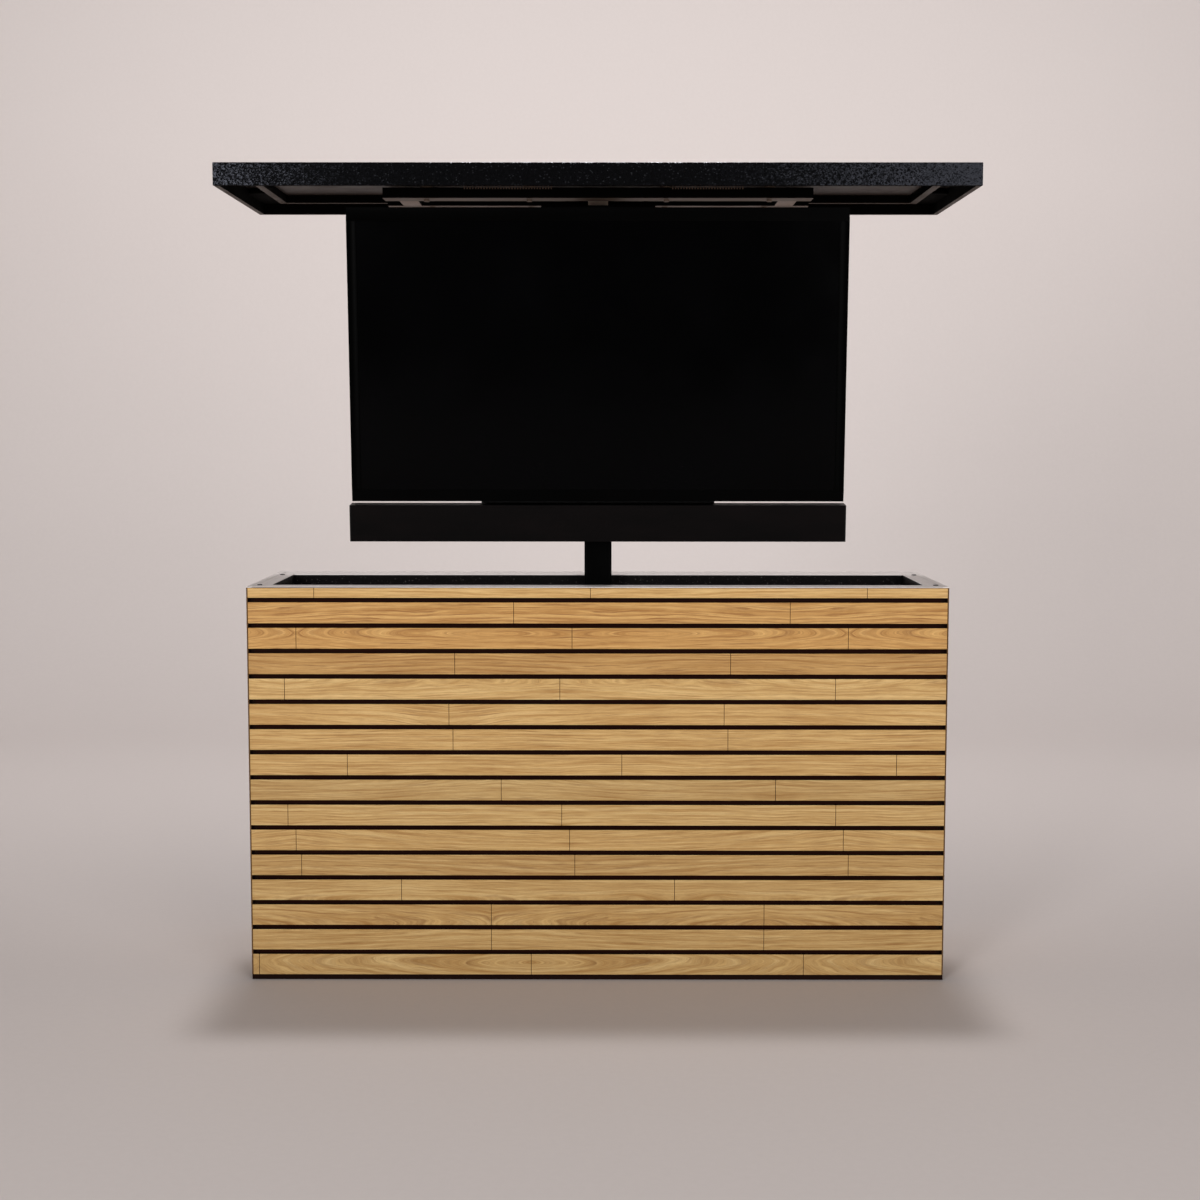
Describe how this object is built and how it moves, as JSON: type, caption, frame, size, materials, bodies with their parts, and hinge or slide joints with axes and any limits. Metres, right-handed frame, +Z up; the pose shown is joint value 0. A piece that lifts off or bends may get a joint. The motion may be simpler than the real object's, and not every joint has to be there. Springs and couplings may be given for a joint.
{
  "type": "tv lift cabinet",
  "caption": "Slatted outdoor cabinet whose telescopic column raises a leaning flat television, its soundbar and the deep-edged stone lid that closes the box.",
  "frame": {"origin": "on the floor, under the centre of the cabinet", "axes": "+Z up, +X to the right seen from the front, +Y to the rear"},
  "size_m": [1.7, 0.58, 1.858],
  "materials": {
    "oak": "oiled oak boards with horizontal grain",
    "backing": "dark weatherproof board",
    "frame": "black powder coat",
    "rim": "light satin anodised sheet",
    "trim": "black powder coat",
    "rear": "black compact board",
    "rubber": "black rubber",
    "column": "satin black",
    "glide": "low-friction plastic",
    "steel": "bright zinc",
    "dark_steel": "black oxide",
    "bronze": "machined",
    "drive": "dark grey paint",
    "control": "moulded black",
    "stone": "leathered black granite with grey speckles",
    "liner": "grey-brown satin sheet",
    "seal": "brown-grey satin",
    "bracket": "black powder coat",
    "tv_plastic": "satin black",
    "tv_metal": "black anodised sheet",
    "screen": "black glass",
    "speaker": "satin black",
    "door_metal": "satin stainless"
  },
  "bodies": {
    "cabinet": {"base_frame": "frame", "corner_posts": "frame", "rim_frame": "frame", "rim_cap": "rim", "floor_pads": "rubber", "floor_board": "backing", "front_board": "backing", "side_boards": "backing", "front_slats_1": "oak", "front_slats_2": "oak", "front_slats_3": "oak", "front_slats_4": "oak", "right_slats": "oak", "left_slats": "oak", "edge_trims": "trim", "rear_panels": "rear", "rear_stiles": "frame", "cable_gland": "control", "hinge_frame_leaves": "door_metal", "outer_tube": "column", "outer_glides": "glide", "foot_plate": "steel", "foot_bolts": "steel", "drive_unit": "drive", "column_rail": "frame", "control_box": "control"},
    "access_door": {"access_door": "rear", "door_pull": "door_metal", "hinge_door_leaves": "door_metal"},
    "drive_screw": {"drive_screw": "steel"},
    "lift_middle": {"middle_tube": "column", "middle_glides": "glide", "drive_nut": "bronze"},
    "lift_head": {"inner_tube": "column", "inner_glides": "glide", "head_plate": "bracket", "hanger_block": "bracket", "tv_spine": "bracket", "tilt_base": "bracket", "tilt_pins": "steel", "lid_slab": "stone", "lid_aprons": "stone", "lid_liner": "liner", "seal_frame": "seal", "lid_gussets": "bracket", "lid_front_beam": "bracket", "lid_rear_beam": "bracket", "lid_arms": "bracket", "lid_spacers": "bracket", "lid_bolts": "dark_steel"},
    "tv_set": {"tilt_yoke": "bracket", "vesa_frame": "bracket", "vesa_bolts": "steel", "tv_housing": "tv_metal", "tv_bezel": "tv_plastic", "tv_glass": "screen", "tv_display": "tv_plastic", "soundbar_case": "speaker", "soundbar_grille": "speaker", "soundbar_bracket": "bracket"}
  },
  "joints": [
    {"name": "lift_middle_slide", "type": "slide", "parent": "cabinet", "child": "lift_middle", "axis": [0, 0, 1], "range_m": [-0.456, 0]},
    {"name": "lift_head_slide", "type": "slide", "parent": "lift_middle", "child": "lift_head", "axis": [0, 0, 1], "range_m": [-0.456, 0]},
    {"name": "drive_screw_spin", "type": "hinge", "parent": "cabinet", "child": "drive_screw", "pos_m": [0, 0.092, 0.1], "axis": [0, 0, 1], "range_deg": [0, 13681]},
    {"name": "tv_tilt", "type": "hinge", "parent": "lift_head", "child": "tv_set", "pos_m": [0, -0.014, 1.44], "axis": [1, 0, 0], "range_deg": [-4.8, 0]},
    {"name": "door_swing", "type": "hinge", "parent": "cabinet", "child": "access_door", "pos_m": [0.38, 0.244, 0.435], "axis": [0, 0, -1], "range_deg": [0, 110]}
  ],
  "couplings": [
    {"joint": "lift_head_slide", "follows": "lift_middle_slide", "ratio": 1},
    {"joint": "drive_screw_spin", "follows": "lift_middle_slide", "rad_per_m": -523.6}
  ]
}
